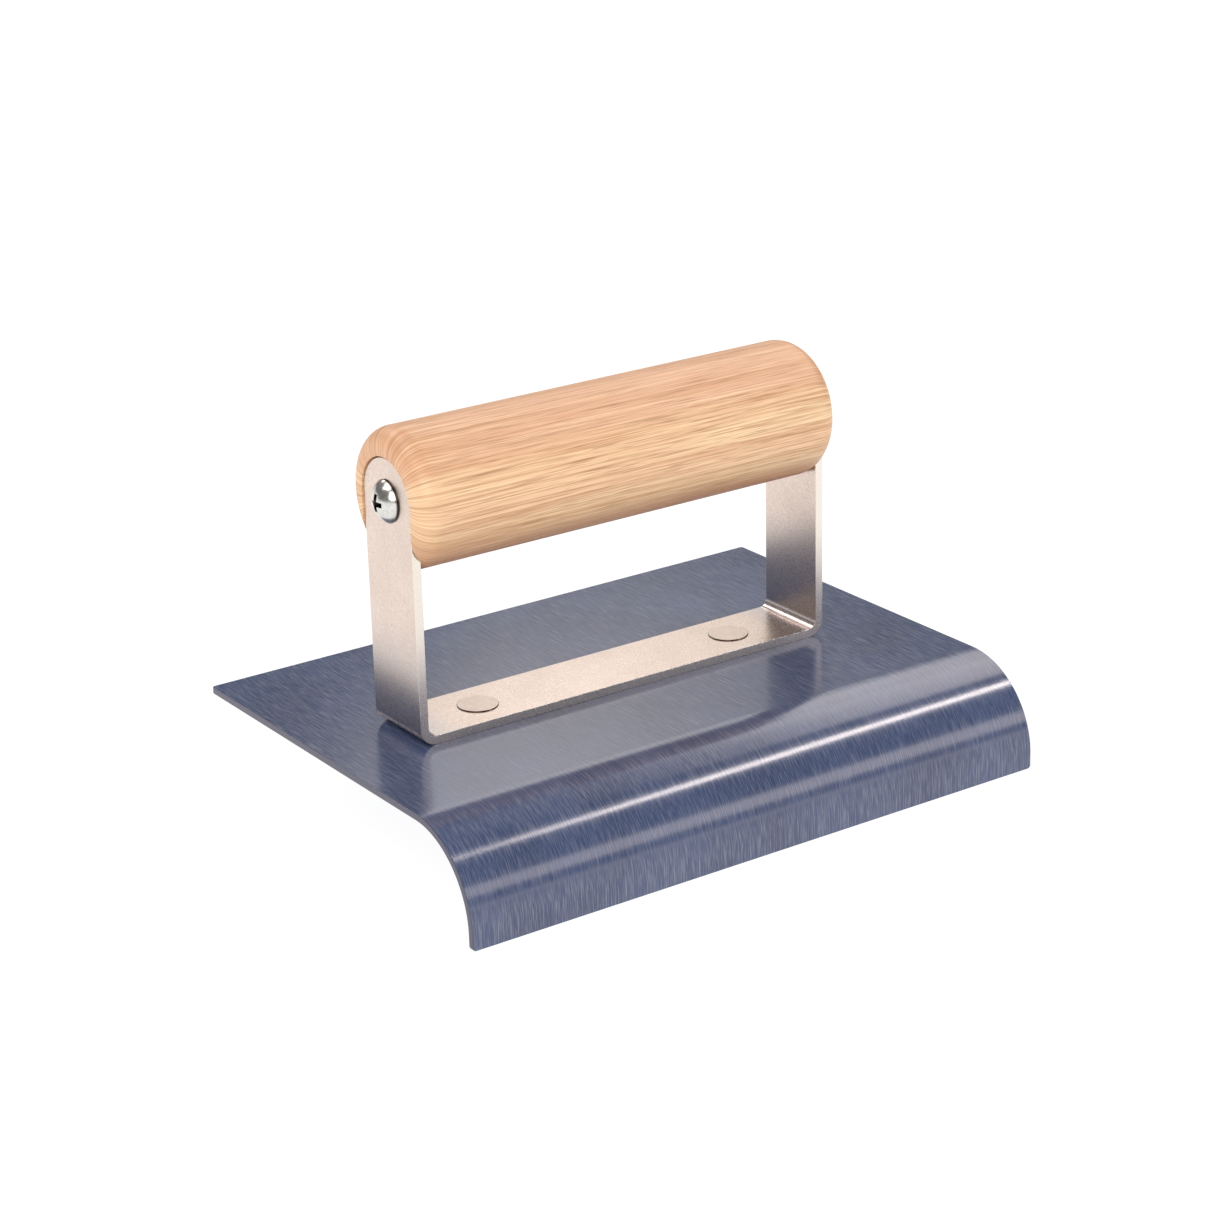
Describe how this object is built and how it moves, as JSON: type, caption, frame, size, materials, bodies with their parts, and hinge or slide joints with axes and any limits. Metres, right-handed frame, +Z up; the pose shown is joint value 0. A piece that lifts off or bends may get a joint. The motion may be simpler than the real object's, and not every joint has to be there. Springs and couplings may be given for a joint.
{
  "type": "concrete hand edger",
  "caption": "Concrete edger with a straight steel blade rolled down into a lip along one side, a riveted steel U bracket and a turned wooden grip.",
  "frame": {"origin": "on the blade's flat sole, at the middle of the blade's length, straight below the grip's axis", "axes": "+X along the blade's length and the grip, towards the end shown further away; -Y towards the rolled lip; +Z up from the sole towards the grip"},
  "size_m": [0.1524, 0.1096, 0.0939],
  "materials": {
    "blade_steel": "blued spring steel, brushed from back to front",
    "bracket_steel": "zinc-plated mild steel strap, dull and finely mottled",
    "grip_wood": "turned hardwood, sanded, thin satin varnish",
    "rivet_steel": "plated steel, dull",
    "screw_plating": "bright plated steel"
  },
  "bodies": {
    "root": {"blade": "blade_steel", "handle_bracket": "bracket_steel", "handle_grip": "grip_wood", "left_rivet": "rivet_steel", "right_rivet": "rivet_steel", "left_handle_screw": "screw_plating", "right_handle_screw": "screw_plating"}
  },
  "joints": []
}
